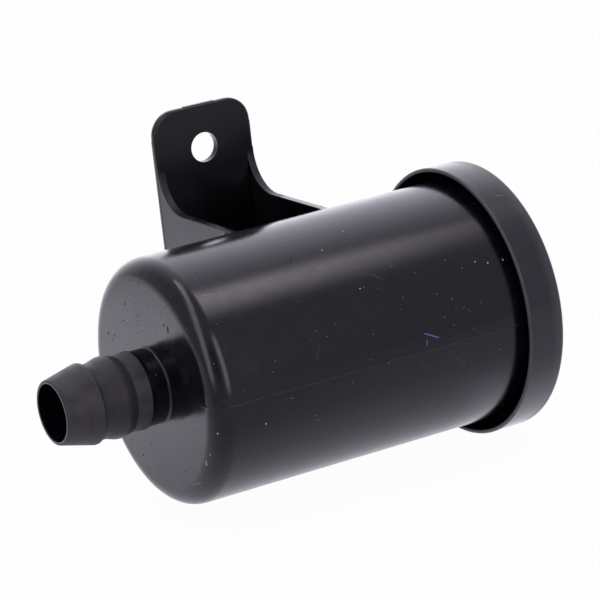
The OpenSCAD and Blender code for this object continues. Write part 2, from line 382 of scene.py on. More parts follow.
def make_floor():
    """A pale square sheet under the object."""
    corner = (floor_half, floor_half)
    sheet = level_sheet("studio_floor", (-floor_half, -floor_half), corner, floor_z, (0, 1, 2, 3))
    paper, tree = empty_material("pale_paper")
    grain = add(tree, "TexNoise", {"Scale": paper_grain, "Detail": 3.0}).outputs["Fac"]
    shade = ramp(tree, grain, 0.3, 0.7, *paper_tones)
    colour = add(tree, "CombineColor", {0: shade, 1: shade, 2: shade}).outputs[0]
    matt = add(tree, "BsdfDiffuse", {"Color": colour})
    mirrored = add(tree, "LightPath").outputs["Is Glossy Ray"]
    share = calc(tree, "MULTIPLY", seen_directly(tree), floor_white_share)
    share = calc(tree, "MAXIMUM", share, mirrored)
    # Mirrored rays see only the glow, whose brightness is painted on the sheet rather than lit.
    level = blend(tree, mirrored, 1.0, floor_in_mirror(tree))
    glow = add(tree, "Emission", {"Color": tint(tree, mirrored, white, room_tint), "Strength": level})
    mixed = add(tree, "MixShader", {0: share, 1: matt.outputs[0], 2: glow.outputs[0]})
    add(tree, "OutputMaterial", {"Surface": mixed.outputs[0]})
    sheet.data.materials.append(paper)
    return sheet


floor = make_floor()
print("floor half side", floor_half, "m")

# %% [markdown]
# ## The body's outlines
#
# The body is one moulding: cup, barb and bracket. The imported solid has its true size, but the photograph
# shows what moulding adds: edges that are rounded all along, a fine raised line where the two halves of the
# mould met, and the mark of the gate where the plastic flowed in. Those are shapes, not paint, so the body
# is drawn again here from the same sizes. Each outline is a list of corners, and every corner carries its
# own radius; one helper turns them into arcs. Sizes are in millimetres.

# %% Outline helpers
def rounded(corners, step=7.5):
    """Replaces each corner (u, v, radius) of a closed outline by an arc, with a point every few degrees."""
    outline = []
    for index, (u, v, radius) in enumerate(corners):
        corner = Vector((u, v))
        before = Vector(corners[index - 1][:2]) - corner
        after = Vector(corners[(index + 1) % len(corners)][:2]) - corner
        turn = math.pi - before.angle(after)
        if radius == 0 or turn < 0.001:
            outline.append(corner)
            continue
        before.normalize()
        after.normalize()
        centre = corner + (before + after).normalized() * radius / math.cos(turn / 2)
        first = corner + before * radius * math.tan(turn / 2) - centre
        last = corner + after * radius * math.tan(turn / 2) - centre
        angle = math.atan2(first.y, first.x)
        sweep = (math.atan2(last.y, last.x) - angle + math.pi) % (2 * math.pi) - math.pi
        steps = max(2, math.ceil(math.degrees(turn) / step))
        for count in range(steps + 1):
            at = angle + sweep * count / steps
            outline.append(centre + radius * Vector((math.cos(at), math.sin(at))))
    return outline


def with_stops(outline, longest):
    """Adds points along the straight runs, so that no run is longer than that."""
    full = []
    for index, point in enumerate(outline):
        run = outline[(index + 1) % len(outline)] - point
        parts = max(1, math.ceil(run.length / longest))
        full += [point + run * part / parts for part in range(parts)]
    return full


print("outline helpers: rounded, with_stops")

# %% [markdown]
# The cup's outline starts at its open end, runs along the outside to the barb's tip, and comes back through
# the bore and along the inside. A corner's first number is its distance behind the end face, so the barb's
# are negative. The second is its distance from the axis, and the third is its rounding.

# %% The outline of the cup and the barb
wall = 1.8
cup_length = 80.0
cup_r = 26.5
cup_taper = 0.15
end_fillet = 4.5
bore_r = 6.15
tip = -barb_length / MM
barb_corners = [
    (0.0, 8.1, 0.5), (-3.4, 8.1, 0.4), (-4.3, 8.42, 0.6), (-7.7, 8.15, 0.15),
    (-9.7, 8.8, 3.0), (-11.0, 8.72, 3.0), (-13.2, 8.05, 0.15),
    (-15.1, 8.1, 0.15), (-15.5, 8.62, 0.35), (-16.0, 8.66, 0.8), (tip, 6.83, 0.3),
]
cup_corners = [
    (cup_length, cup_r + cup_taper, 0.2), (0.0, cup_r, end_fillet), *barb_corners,
    (tip, bore_r, 0.12), (wall, bore_r, 0.2), (wall, cup_r - wall, end_fillet - wall),
    (cup_length, cup_r + cup_taper - wall, 0.2),
]
cup_outline = with_stops(rounded(cup_corners), 6.0)
print("cup outline:", len(cup_outline), "points")

# %% [markdown]
# ## The cup and the barb on a lathe
#
# Everything round the axis is one outline turned once round, as a lathe would turn it. The parting line
# lies in the level plane through the axis, so at the front and at the back of the turn four narrow columns
# take the place of one, and the two in the middle stand a few hundredths of a millimetre proud.

# %% Turn the cup
ridge_height = 0.035
ridge_end_share = 0.5
ridge_columns = [(-0.12, 0.0), (-0.04, 1.0), (0.04, 1.0), (0.12, 0.0)]
ridge_inner_r = 10.0
cap_covers_from = 75.0
end_fillet_start = cup_r - end_fillet
turn_steps = 240


def ridge_direction(u, r):
    """Which way the cup's outside faces at a point of its outline, or None for the other surfaces."""
    if u > end_fillet:
        return Vector((0, 1)) if r > cup_r - wall / 2 and u < cap_covers_from else None
    if r < end_fillet_start:
        return Vector((-ridge_end_share, 0)) if abs(u) < 0.01 and r > ridge_inner_r else None
    outward = Vector((u - end_fillet, r - end_fillet_start))
    return outward.normalized() * ridge_end_share if outward.length > end_fillet - wall / 2 else None


def on_axis(u, r, turn):
    """A place in the scene: u behind the end face, r from the axis, turned from the front."""
    aside, up = -r * math.cos(turn) * MM, r * math.sin(turn) * MM
    return Vector((end_face_x + u * MM, axis_y + aside, axis_z + up))


def mesh_object(name, places, faces):
    """A closed mesh with its faces turned outwards."""
    mesh = bpy.data.meshes.new(name)
    mesh.from_pydata(places, [], faces)
    work = bmesh.new()
    work.from_mesh(mesh)
    bmesh.ops.recalc_face_normals(work, faces=work.faces)
    work.to_mesh(mesh)
    work.free()
    made = bpy.data.objects.new(name, mesh)
    scene.collection.objects.link(made)
    return made


def side_faces(size, here, there):
    """The faces between two rings of that many points, whose first points have these numbers."""
    return [(here + k, here + (k + 1) % size, there + (k + 1) % size, there + k) for k in range(size)]


def turned(name, outline, columns, closed=True):
    """Turns an outline through the columns' angles. An open turn gets a flat face at each end."""
    size, count = len(outline), len(columns)
    places = []
    for angle, aside, lift in columns:
        for u, r in outline:
            facing = ridge_direction(u, r) if lift else None
            point = Vector((u, r)) + facing * ridge_height * lift if facing else Vector((u, r))
            places.append(on_axis(point.x, point.y, angle + aside / r))
    faces = []
    for column in range(count if closed else count - 1):
        faces += side_faces(size, column * size, (column + 1) % count * size)
    if not closed:
        faces += [tuple(range(size)), tuple(range(size * (count - 1), size * count))]
    return mesh_object(name, places, faces)


columns = []
for step in range(turn_steps):
    angle = 2 * math.pi * step / turn_steps
    if step % (turn_steps // 2) == 0:
        columns += [(angle, aside, lift) for aside, lift in ridge_columns]
    else:
        columns.append((angle, 0.0, 0.0))
body = turned("moulded_body", cup_outline, columns)
print("turned cup:", len(body.data.polygons), "faces")

# %% [markdown]
# ## The bracket
#
# The bracket is flat stock with round edges: an upright plate with the bolt hole and two webs that sweep
# into it. A slab is built as a stack of rings. Each ring is the outline moved in a little, and the amounts
# follow a quarter circle at both faces, which gives an even rounded edge without a bevel tool.

# %% Plate
plate_thickness = 1.8
plate_edge = 0.62
plate_half = 12.25
plate_low = axis_z / MM
plate_top = 9.58
plate_corner = 5.5
plate_foot_corner = 0.9
plate_step = 0.1
plate_step_rise = 0.15
plate_step_below = 0.4
mitre_limit = 0.3
corner_x = plate_half - plate_step
step_z = plate_top - plate_corner - plate_step_below
plate_corners = [
    (-plate_half, plate_low, plate_foot_corner), (plate_half, plate_low, plate_foot_corner),
    (plate_half, step_z - plate_step_rise, 0.0), (corner_x, step_z, 0.0),
    (corner_x, plate_top, plate_corner), (-corner_x, plate_top, plate_corner),
    (-corner_x, step_z, 0.0), (-plate_half, step_z - plate_step_rise, 0.0),
]


def inset(outline, amount):
    """Moves every side of a counter-clockwise outline inwards."""
    moved = []
    for index, point in enumerate(outline):
        before = (point - outline[index - 1]).normalized()
        after = (outline[(index + 1) % len(outline)] - point).normalized()
        inward = Vector((-before.y - after.y, before.x + after.x)).normalized()
        mitre = max(mitre_limit, inward.dot(Vector((-before.y, before.x))))
        moved.append(point + inward * amount / mitre)
    return moved


def slab(name, outline, thickness, edge, place, steps=5):
    """A flat piece with rounded edges. place(u, v, w) gives the scene's point, w being the depth."""
    rings = []
    for count in range(2 * steps + 2):
        quarter = math.radians(90 * (count if count <= steps else 2 * steps + 1 - count) / steps)
        depth = edge * (1 - math.cos(quarter))
        depth = depth if count <= steps else thickness - depth
        rings.append([(u, v, depth) for u, v in inset(outline, edge * (1 - math.sin(quarter)))])
    size = len(outline)
    places = [place(*point) for ring in rings for point in ring]
    faces = [tuple(range(size)), tuple(range(size * (len(rings) - 1), size * len(rings)))]
    for ring in range(len(rings) - 1):
        faces += side_faces(size, ring * size, (ring + 1) * size)
    return mesh_object(name, places, faces)


def upright_from(front):
    """Places a slab upright: u along the canister, v up, w back from that front."""
    def place(u, v, w):
        return Vector((u, w - front, v)) * MM
    return place


plate = slab("plate", rounded(plate_corners), plate_thickness, plate_edge, upright_from(plate_thickness))
print("plate:", len(plate.data.polygons), "faces")

# %% [markdown]
# The webs stand across the canister, so their outline is drawn in depth and height from the axis. Their
# inner edge is sunk into the cup's wall, and they stand a hair in from the plate's sides, which leaves the
# fine upright line that the photograph shows there. An exact boolean joins them to the plate: it costs a
# moment, but the result is one closed skin.

# %% Webs
web_set_in = 0.06
web_outer = plate_half - web_set_in
web_thickness = 1.74
web_edge = 0.25
web_foot = 0.03
web_rear = 37.4
web_front = 36.5
web_top = 35.1
web_shelf = 25.7
web_sweep = 8.8
web_shelf_start = 4.0
sunk_r = 25.2
sink_steps = 20
web_corners = [
    (web_rear, web_foot, 0.0), (web_rear, web_top, 0.0), (web_front, web_top, 0.0),
    (web_front, web_shelf, web_sweep), (web_shelf_start, web_shelf, 0.0),
]
sink_start = math.acos(web_shelf_start / sunk_r)
web_sink = [sink_start * (1 - count / sink_steps) for count in range(sink_steps + 1)]
web_outline = rounded(web_corners, 4.0)
web_outline += [Vector((sunk_r * math.cos(a), max(web_foot, sunk_r * math.sin(a)))) for a in web_sink]
web_outline = with_stops(web_outline, 4.0)


def across(side):
    """Places a web on one side of the bracket: u is the depth and v the height from the axis."""
    def place(u, v, w):
        return Vector((side * (web_outer - w) * MM, axis_y + u * MM, axis_z + v * MM))
    return place


def combine(base, other, operation):
    """Joins or cuts two closed meshes exactly, and removes the second."""
    change = base.modifiers.new("combine", "BOOLEAN")
    change.object = other
    change.operation = operation
    change.solver = "EXACT"
    made = bpy.data.meshes.new_from_object(base.evaluated_get(bpy.context.evaluated_depsgraph_get()))
    base.modifiers.clear()
    base.data = made
    bpy.data.objects.remove(other)


for side in (-1, 1):
    combine(plate, slab("web", web_outline, web_thickness, web_edge, across(side)), "UNION")
print("plate with webs:", len(plate.data.polygons), "faces")

# %% [markdown]
# The bolt hole is cut by a turned pin. The pin widens at both faces, which breaks the hole's edges as a
# countersink would. The gate mark is the low stub that is left on the plate's top edge where the plastic
# came in, so it is one more thin slab.

# %% Bolt hole and gate mark
hole_r = 3.3
hole_flare = 0.03
drill_past = 0.5
drill_sides = 96
gate_left, gate_right = -3.7, 3.9
gate_foot, gate_top = 9.0, 9.7
gate_thickness = 0.9
gate_round = 0.1
gate_edge = 0.05
gate_front = 1.35


def drill(name, radius, flare):
    """A cutter for the bolt hole, wider at both faces so that the hole's edges are broken."""
    wide = radius + flare + drill_past
    rings = [(-plate_thickness - drill_past, wide), (-plate_thickness + flare, radius),
             (-flare, radius), (drill_past, wide)]
    angles = [2 * math.pi * k / drill_sides for k in range(drill_sides)]
    places = [Vector((r * math.cos(a), y, r * math.sin(a))) * MM for y, r in rings for a in angles]
    last = drill_sides * (len(rings) - 1)
    faces = [tuple(range(drill_sides)), tuple(range(last, last + drill_sides))]
    for ring in range(len(rings) - 1):
        faces += side_faces(drill_sides, ring * drill_sides, (ring + 1) * drill_sides)
    return mesh_object(name, places, faces)


combine(plate, drill("drill", hole_r, hole_flare), "DIFFERENCE")
gate_corners = [(gate_left, gate_foot, 0.0), (gate_right, gate_foot, 0.0),
                (gate_right, gate_top, gate_round), (gate_left, gate_top, gate_round)]
gate = slab("gate", rounded(gate_corners), gate_thickness, gate_edge, upright_from(gate_front))
combine(plate, gate, "UNION")
print("plate with hole and gate mark:", len(plate.data.polygons), "faces")

# %% [markdown]
# Where a web grows out of the cup, the mould leaves a hollow fillet so that the corner doesn't tear. It
# follows the cup's round, so it comes from the same lathe, turned only as far as the web reaches.

# %% Root fillets
root_r = 0.8
root_sink = 0.01
root_depth = 0.5
root_from, root_to = 110, 180
root_steps = 60
hollow_steps = 6


def root_fillet(side):
    """The hollow fillet between a web's outer face and the cup, which follows the cup's round."""
    u = (-end_face_x / MM) + side * web_outer
    r = cup_r + cup_taper * u / cup_length
    centre = Vector((u + side * (root_r - root_sink), r + root_r - root_sink))
    start = math.radians(180 if side > 0 else 0)
    hollow = [start + side * math.radians(90) * k / hollow_steps for k in range(hollow_steps + 1)]
    outline = [centre + root_r * Vector((math.cos(a), math.sin(a))) for a in hollow]
    inner_u, inner_r = u - side * root_depth, r - root_depth
    first, last = outline[0], outline[-1]
    outline += [Vector((last.x, inner_r)), Vector((inner_u, inner_r)), Vector((inner_u, first.y))]
    sweep = root_to - root_from
    turns = [(math.radians(root_from + sweep * k / root_steps), 0.0, 0.0) for k in range(root_steps + 1)]
    return turned("root_fillet", outline, turns, closed=False)


for side in (-1, 1):
    combine(plate, root_fillet(side), "UNION")
print("bracket:", len(plate.data.polygons), "faces")

# %% [markdown]
# Inside the closed end eight short ribs hold the first filter pad off the port. They are out of sight, but
# the piece stands for the whole moulding, so they are there too. Then everything is joined into one solid.

# %% Inner ribs and one solid
rib_count = 8
rib_foot, rib_top = 1.5, 3.8
rib_inner_r, rib_outer_r = 7.95, 22.0
rib_half = 0.6
sharp_angle = math.radians(32)


def inner_rib(turn):
    """One rib from the port outwards along the inside of the end wall."""
    box = [(u, r, aside) for u in (rib_foot, rib_top) for r in (rib_inner_r, rib_outer_r)
           for aside in (-rib_half, rib_half)]
    places = [on_axis(u, math.hypot(r, aside), turn + math.atan2(aside, r)) for u, r, aside in box]
    faces = [(0, 1, 3, 2), (4, 5, 7, 6), (0, 1, 5, 4), (2, 3, 7, 6), (0, 2, 6, 4), (1, 3, 7, 5)]
    return mesh_object("rib", places, faces)


for count in range(rib_count):
    combine(plate, inner_rib(math.radians(90 + 360 / rib_count * count)), "UNION")
combine(body, plate, "UNION")
work = bmesh.new()
work.from_mesh(body.data)
bmesh.ops.remove_doubles(work, verts=work.verts, dist=1e-7)
open_edges = sum(1 for edge in work.edges if len(edge.link_faces) != 2)
volume = work.calc_volume(signed=True)
work.to_mesh(body.data)
work.free()
body.data.shade_smooth()
body.data.set_sharp_from_angle(angle=sharp_angle)
even = body.modifiers.new("even_shading", "WEIGHTED_NORMAL")
even.keep_sharp = True
even.weight = 80
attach(body, "root")
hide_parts("canister_body")
print(f"body: {len(body.data.polygons)} faces, {open_edges} open edges, {volume * 1e9:.0f} mm3")

# %% [markdown]
# ## Black moulded plastic
#
# The cup and the cap are nylon dyed black. The dye takes nearly all the light that enters, so the colour is
# very dark and a little blue, and the look lives in the gloss: a fine grain left by the mould, a slow
# waviness where the wall has shrunk, a thin dusty film and single specks of dust. The coordinates are the
# object's own, in millimetres, so every mark has a real size.

# %% Patterns
def start_material(name):
    """A new empty material, its tree, and the object's coordinates in millimetres."""
    made, tree = empty_material(name)
    place = add(tree, "TexCoord").outputs["Object"]
    place = add(tree, "VectorMath", {0: place, "Scale": 1 / MM}, operation="SCALE").outputs[0]
    return made, tree, place


def noise(tree, place, scale, detail=2.0, roughness=0.5):
    """Smooth noise from 0 to 1, with `scale` waves to the millimetre."""
    inputs = {"Vector": place, "Scale": scale, "Detail": detail, "Roughness": roughness}
    return add(tree, "TexNoise", inputs).outputs["Fac"]


def specks(tree, place, cell, radius, share):
    """Round dots of that radius: at most one in each cell, kept for that share of the cells."""
    cells = add(tree, "TexVoronoi", {"Vector": place, "Scale": 1 / cell})
    dot = ramp(tree, cells.outputs["Distance"], radius / cell, 0.4 * radius / cell)
    pick = add(tree, "SeparateColor", {0: cells.outputs["Color"]})
    kept = calc(tree, "LESS_THAN", pick.outputs[0], share)
    strength = ramp(tree, pick.outputs[1], 0.0, 1.0, 0.2, 1.0)
    return calc(tree, "MULTIPLY", calc(tree, "MULTIPLY", dot, kept), strength)


def scaled(colour, factor):
    """The same colour, darker or lighter."""
    return tuple(value * factor for value in colour)


print("patterns: noise, specks")

# %% [markdown]
# One function makes the plastic for every moulding, because they differ only in colour, gloss and wear. A
# look is a colour, a roughness and a gloss. What has happened to a piece since it was moulded comes in as a
# function that takes the look and gives it back changed.

# %% Plastic finish
film_more = 0.0055
dust_cell = 1.6
dust_radius = 0.13
dust_colour = (0.33, 0.33, 0.335)
dust_roughness = 0.6
dust_height = 0.01
shrink_height = 0.05
plain_gloss = 0.5
nylon_ior = 1.53
nylon_mirror_tint = (0.95, 0.9, 1.0)


def standard_surface(tree, inputs):
    """Ends a tree with Blender's standard surface."""
    shader = add(tree, "BsdfPrincipled", inputs)
    add(tree, "OutputMaterial", {"Surface": shader.outputs[0]})


def plastic_relief(tree, place, grain, dust):
    """Mould grain, slow waviness and the specks' own height, as a bump."""
    fine = calc(tree, "MULTIPLY", noise(tree, place, 2.2, 3.0), grain)
    slow = calc(tree, "MULTIPLY", noise(tree, place, 0.07, 1.0), shrink_height)
    height = calc(tree, "ADD", calc(tree, "ADD", fine, slow), calc(tree, "MULTIPLY", dust, dust_height))
    return add(tree, "Bump", {"Height": height, "Strength": 1.0, "Distance": MM}).outputs[0]


def finish_plastic(name, base, roughness, grain, dust_share, wear=None):
    """Dyed black nylon with mould grain, waviness and dust, and with wear where that is given."""
    made, tree, place = start_material(name)
    dye = tint(tree, noise(tree, place, 0.12, 3.0), scaled(base, 0.8), scaled(base, 1.2))
    film = ramp(tree, noise(tree, place, 2.2, 4.0, 0.7), 0.44, 0.66)
    dye = tint(tree, film, dye, tuple(value + film_more for value in base))
    rough = ramp(tree, noise(tree, place, 0.35, 4.0), 0.25, 0.75, roughness * 0.85, roughness * 1.15)
    dust = specks(tree, place, dust_cell, dust_radius, dust_share)
    dye = tint(tree, dust, dye, dust_colour)
    rough = calc(tree, "ADD", rough, calc(tree, "MULTIPLY", dust, dust_roughness), clamp=True)
    look = (dye, rough, plain_gloss)
    if wear:
        look = wear(tree, place, look)
    standard_surface(tree, {
        "Base Color": look[0], "Roughness": look[1], "Specular IOR Level": look[2],
        "Normal": plastic_relief(tree, place, grain, dust),
        "IOR": nylon_ior, "Specular Tint": nylon_mirror_tint + (1,),
    })
    return made


def dress(node_name, material):
    """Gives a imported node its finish."""
    mesh = nodes[node_name].data
    mesh.materials.clear()
    mesh.materials.append(material)
    print(node_name, "wears", material.name)


retainer_plastic = finish_plastic("retainer_plastic", (0.03, 0.03, 0.032), 0.45, 0.004, 0.0)
dress("retainer_plate", retainer_plastic)

# %% [markdown]
# ## Wear on the body
#
# The photograph shows a used part, and its marks stay. First come the wide ones. The bracket has a little
# less gloss than the cup, and its webs are matt on their edges and insides. The parting line is greyer than
# the skin around it, broken here and there, and weaker round the end. Each mask is an eased ramp of a
# distance on the object, in millimetres.

# %% Bracket and parting line
bracket_fade = (-15.0, -13.0)
bracket_dye = (0.0016, 0.0015, 0.0024)
bracket_roughness = 0.22
web_skin_fade = (web_outer - 0.02, web_outer - 0.1)
plate_front_fade = (-2.0, -2.4)
web_edge_roughness = 0.45
parting_width_fade = (0.16, 0.06)
parting_radius_fade = (23.0, 25.0)
parting_end_fade = (1.0, 6.0)
parting_end_share = 0.3
parting_dye = (0.016, 0.016, 0.019)
parting_roughness = 0.45


def from_axis(tree, place):
    """A point's distance from the axis, in millimetres."""
    across_axis = add(tree, "VectorMath", {0: place, 1: (0, 1, 1)}, operation="MULTIPLY").outputs[0]
    axis = (0.0, axis_y / MM, axis_z / MM)
    return add(tree, "VectorMath", {0: across_axis, 1: axis}, operation="DISTANCE").outputs["Value"]


def on_canister(tree, place):
    """Where a point is on the canister, as the sockets that the masks need."""
    parts = add(tree, "SeparateXYZ", {0: place}).outputs
    above_axis = calc(tree, "SUBTRACT", parts["Z"], axis_z / MM)
    behind_end = calc(tree, "SUBTRACT", parts["X"], end_face_x / MM)
    return {"place": place, "x": parts["X"], "y": parts["Y"], "above_axis": above_axis,
            "behind_end": behind_end, "radius": from_axis(tree, place)}


def worn(tree, share, look, dye=None, rough=None, gloss=None):
    """Takes a look towards another colour, roughness or gloss by that share, where one is given."""
    changed = list(look)
    for index, (mix, goal) in enumerate(((tint, dye), (blend, rough), (blend, gloss))):
        if goal is not None:
            changed[index] = mix(tree, share, look[index], goal)
    return tuple(changed)


def bracket_wear(tree, at, look):
    """A satin bracket, with matt edges and insides on its webs."""
    bracket = ramp(tree, at["y"], *bracket_fade)
    look = worn(tree, bracket, look, dye=bracket_dye, rough=bracket_roughness)
    inside = ramp(tree, calc(tree, "ABSOLUTE", at["x"]), *web_skin_fade)
    inside = calc(tree, "MULTIPLY", inside, ramp(tree, at["y"], *plate_front_fade))
    return worn(tree, calc(tree, "MULTIPLY", inside, bracket), look, rough=web_edge_roughness)


def parting_wear(tree, at, look):
    """A greyer, broken parting line."""
    line = ramp(tree, calc(tree, "ABSOLUTE", at["above_axis"]), *parting_width_fade)
    line = calc(tree, "MULTIPLY", line, ramp(tree, at["radius"], *parting_radius_fade))
    broken = ramp(tree, noise(tree, at["place"], 0.4, 3.0), 0.35, 0.6, 0.1, 1.0)
    line = calc(tree, "MULTIPLY", line, broken)
    weaker = ramp(tree, at["behind_end"], *parting_end_fade, parting_end_share, 1.0)
    line = calc(tree, "MULTIPLY", line, weaker)
    return worn(tree, line, look, dye=parting_dye, rough=parting_roughness)


print("bracket roughness", bracket_roughness, "and parting line roughness", parting_roughness)

# %% [markdown]
# The hose has rubbed the barb matt and grey from its last crest outwards, in cloudy patches, and its middle
# stretch is darker. The end face has small dark pits. Both are masks again, because they cover a whole area
# and nobody counts the patches.

# %% Barb and pits
barb_matt_fade = (-4.35, -4.47)
barb_bore_fade = (6.3, 6.6)
barb_dye = (0.0298, 0.0285, 0.0325)
barb_darker = scaled(barb_dye, 0.65)
barb_lighter = scaled(barb_dye, 1.35)
barb_roughness = 0.5
barb_gloss = 0.35
barb_middle_start = (-15.4, -14.9)
barb_middle_stop = (-7.4, -8.0)
barb_middle_share = 0.9
face_depth = 0.3
pit_cell = 1.5
pit_radius = 0.28
pit_share = 0.2
pit_dye = (0.002, 0.002, 0.002)


def barb_wear(tree, at, look):
    """A matt, mottled barb with a darker middle."""
    matt = ramp(tree, at["behind_end"], *barb_matt_fade)
    matt = calc(tree, "MULTIPLY", matt, ramp(tree, at["radius"], *barb_bore_fade))
    scuff = noise(tree, at["place"], 0.3, 4.0, 0.55)
    rough = ramp(tree, scuff, 0.3, 0.7, barb_roughness * 0.85, barb_roughness * 1.15)
    dye = tint(tree, ramp(tree, scuff, 0.3, 0.7), barb_darker, barb_lighter)
    middle = ramp(tree, at["behind_end"], *barb_middle_stop, 0.0, barb_middle_share)
    middle = calc(tree, "MULTIPLY", ramp(tree, at["behind_end"], *barb_middle_start), middle)
    dye = tint(tree, middle, dye, barb_darker)
    return worn(tree, matt, look, dye=dye, rough=rough, gloss=barb_gloss)


def pit_wear(tree, at, look):
    """Small dark pits in the end face."""
    face = calc(tree, "LESS_THAN", calc(tree, "ABSOLUTE", at["behind_end"]), face_depth)
    pits = calc(tree, "MULTIPLY", specks(tree, at["place"], pit_cell, pit_radius, pit_share), face)
    return worn(tree, pits, look, dye=pit_dye, rough=1.0, gloss=0.1)


print("barb roughness", barb_roughness, "and pits of radius", pit_radius, "mm")

# %% [markdown]
# The last marks are single ones: two blue lint fibres, scratches, dents, a nick near the barb's mouth and
# grains of grit. They could be painted on an image, but then they would blur close up. Each is a short
# segment, with its ends near the surface and half its width, all in millimetres. The ends are first brought
# onto the surface; in the shader a mark is the set of points near its segment.

# %% Single marks
grit = (0.42, 0.41, 0.4)
lint = (0.1, 0.135, 0.36)
scrape = (0.22, 0.22, 0.22)
faint = (0.04, 0.04, 0.043)
haze = (0.1, 0.1, 0.1)
dent = (0.001, 0.001, 0.001)
mark_roughness = 0.7
mark_gloss = 0.3
body_marks = [
    # Lint fibres on the front of the cup.
    ((12.5, -64.6, -33.8), (15.5, -64.8, -35.3), 0.17, lint),
    ((12.7, -64.8, -35.3), (12.5, -64.8, -36.2), 0.16, lint),
    # Dents on the top and on the end face.
    ((-10.0, -51.6, -14.5), (-10.4, -52.6, -15.1), 0.17, dent),
    ((-38.8, -48.6, -23.0), (-38.8, -48.5, -23.9), 0.42, dent),
    ((-38.8, -47.1, -22.6), (-38.8, -47.1, -22.8), 0.36, dent),
    ((-38.8, -21.4, -29.2), (-38.8, -21.4, -29.4), 0.36, dent),
    ((-38.8, -30.8, -21.1), (-38.8, -30.8, -21.3), 0.34, dent),
    ((-38.8, -38.7, -13.0), (-38.8, -38.9, -13.0), 0.32, dent),
    # Scratches on the rounded end.
    ((-33.2, -54.5, -16.4), (-30.8, -54.6, -16.6), 0.11, scrape),
    # A chip at the top of the rounded end: its light grey is partly a painted highlight, the strip lamp's
    # glint on it.
    ((-36.1, -48.9, -13.6), (-36.2, -51.1, -14.9), 0.1, scrape),
    ((-38.7, -51.0, -56.3), (-38.4, -54.1, -55.3), 0.13, scrape),
    # Faint scratches, and the nick near the barb's mouth.
    ((29.8, -38.8, -10.9), (33.1, -43.4, -11.5), 0.12, faint),
    ((1.2, -57.1, -18.7), (6.8, -59.5, -21.5), 0.13, faint),
    ((-37.6, -60.7, -48.7), (-37.1, -60.2, -50.4), 0.14, faint),
    ((-12.6, -63.8, -30.2), (-14.2, -64.5, -33.3), 0.1, faint),
    ((-61.3, -43.7, -32.9), (-60.3, -44.0, -33.0), 0.4, faint),
    # Grains of grit.
    ((-38.6, -57.9, -49.7), (-38.5, -57.7, -50.6), 0.2, grit),
    ((-37.7, -62.6, -42.9), (-37.7, -62.6, -43.0), 0.2, grit),
    ((-27.2, -64.2, -43.2), (-27.2, -64.2, -43.3), 0.22, grit),
    ((-38.4, -59.6, -47.9), (-38.4, -59.6, -48.0), 0.18, grit),
    ((32.0, -61.0, -23.6), (32.0, -61.0, -23.7), 0.2, grit),
    ((35.8, -61.1, -23.8), (35.8, -61.1, -23.9), 0.22, grit),
    ((29.2, -60.5, -22.8), (29.2, -60.5, -22.9), 0.16, grit),
    ((5.2, -48.0, -12.8), (5.3, -48.0, -12.8), 0.17, grit),
    ((-2.4, -51.6, -14.5), (-2.3, -51.6, -14.5), 0.19, grit),
    ((0.8, -59.9, -22.1), (0.9, -59.9, -22.1), 0.16, grit),
    # A grey scratch and grey specks.
    ((-7.6, -54.5, -16.4), (-6.0, -56.1, -17.8), 0.2, haze),
    ((-10.4, -63.5, -29.0), (-10.3, -63.5, -29.0), 0.18, haze),
    ((9.5, -62.1, -25.7), (9.6, -62.1, -25.7), 0.16, haze),
    ((20.7, -63.3, -28.5), (20.8, -63.3, -28.5), 0.2, haze),
    ((2.8, -64.9, -37.8), (2.9, -64.9, -37.8), 0.18, haze),
    ((-21.1, -64.8, -39.3), (-20.8, -64.8, -39.3), 0.17, haze),
    ((-23.4, -64.0, -30.9), (-23.3, -64.0, -30.9), 0.16, haze),
    ((-24.5, -64.4, -32.8), (-24.3, -64.4, -32.8), 0.16, haze),
    ((-15.5, -63.9, -44.7), (-15.2, -63.9, -44.7), 0.17, haze),
    ((-14.8, -63.5, -45.9), (-14.4, -63.5, -45.9), 0.16, haze),
]


def snapped(piece, place):
    """The nearest point on a piece's surface, in millimetres."""
    return piece.closest_point_on_mesh(Vector(place) * MM)[1] / MM


def streak(tree, place, start, stop, half_width):
    """1 on a line from start to stop, falling to 0 at that distance from it."""
    run = stop - start
    offset = add(tree, "VectorMath", {0: place, 1: start}, operation="SUBTRACT").outputs[0]
    inputs = {0: offset, 1: run / max(run.length_squared, 1e-9)}
    along = add(tree, "VectorMath", inputs, operation="DOT_PRODUCT").outputs["Value"]
    along = calc(tree, "MINIMUM", calc(tree, "MAXIMUM", along, 0.0), 1.0)
    foot = add(tree, "VectorMath", {0: run, "Scale": along}, operation="SCALE").outputs[0]
    away = add(tree, "VectorMath", {0: offset, 1: foot}, operation="DISTANCE").outputs["Value"]
    return ramp(tree, away, half_width, half_width * 0.4)


def mark_wear(tree, at, look):
    """The single marks, one after the other."""
    for first, last, half_width, colour in body_marks:
        mark = streak(tree, at["place"], snapped(body, first), snapped(body, last), half_width)
        look = worn(tree, mark, look, dye=colour, rough=mark_roughness, gloss=mark_gloss)
    return look


def body_wear(tree, place, look):
    """All that has happened to the body, from the widest wear to the single marks."""
    at = on_canister(tree, place)
    for change in (bracket_wear, parting_wear, barb_wear, pit_wear, mark_wear):
        look = change(tree, at, look)
    return look


body_plastic = finish_plastic("body_plastic", (0.0008, 0.0014, 0.0038), 0.19, 0.006, 0.4, body_wear)
dress("canister_body", body_plastic)
body.data.materials.clear()
body.data.materials.append(body_plastic)
print("body:", len(body_marks), "single marks")
